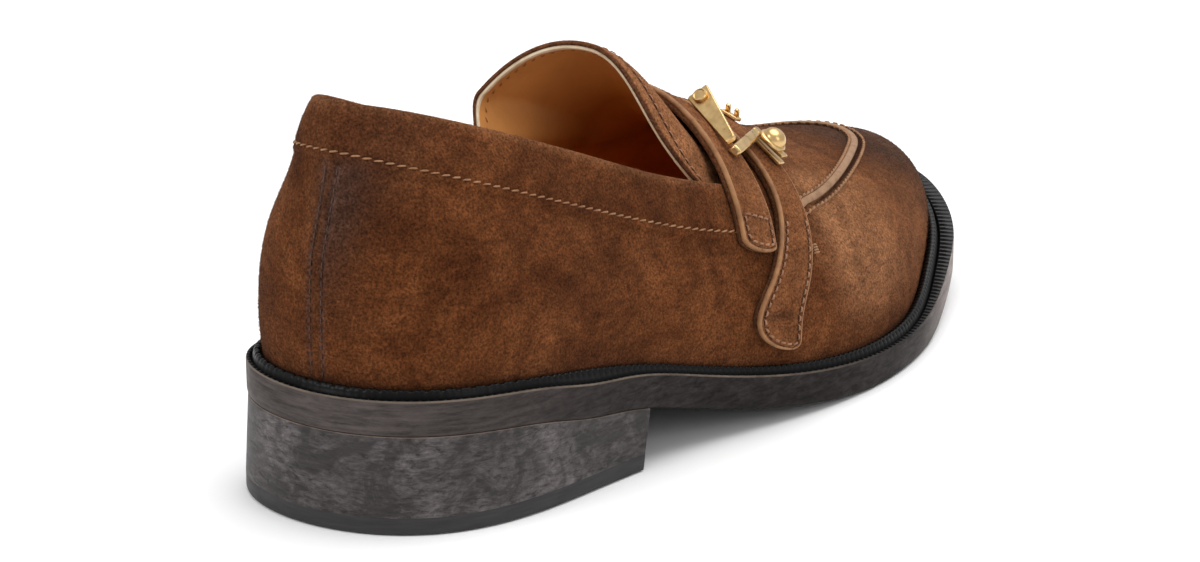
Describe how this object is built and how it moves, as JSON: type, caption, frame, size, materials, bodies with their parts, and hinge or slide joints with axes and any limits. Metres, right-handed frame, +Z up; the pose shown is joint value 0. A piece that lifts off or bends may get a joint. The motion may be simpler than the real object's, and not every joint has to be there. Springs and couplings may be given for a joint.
{
  "type": "buckle loafer shoe",
  "caption": "Suede slip-on loafer for the right foot, with a tall tongue, crossing straps held by a brass clasp, a storm welt and a stacked block heel.",
  "frame": {"origin": "on the floor under the middle of the shoe's bounding box", "axes": "+Z up from the floor, +Y towards the toe, +X towards the outer (lateral) side of the right foot"},
  "size_m": [0.11, 0.3008, 0.1155],
  "materials": {
    "suede": "brushed nap",
    "lining": "smooth",
    "welt": "waxed",
    "sole": "burnished edge",
    "heel": "scuffed",
    "top_lift": "matte",
    "brass": "antique satin"
  },
  "bodies": {
    "root": {"outsole": "sole", "welt": "welt", "heel_stack": "heel", "top_lift": "top_lift", "insole": "lining", "upper": "suede", "tongue": "suede", "rear_strap": "suede", "front_strap": "suede", "lever": "brass", "lever_pin": "brass", "hook": "brass", "stud": "brass", "keeper": "brass"}
  },
  "joints": []
}
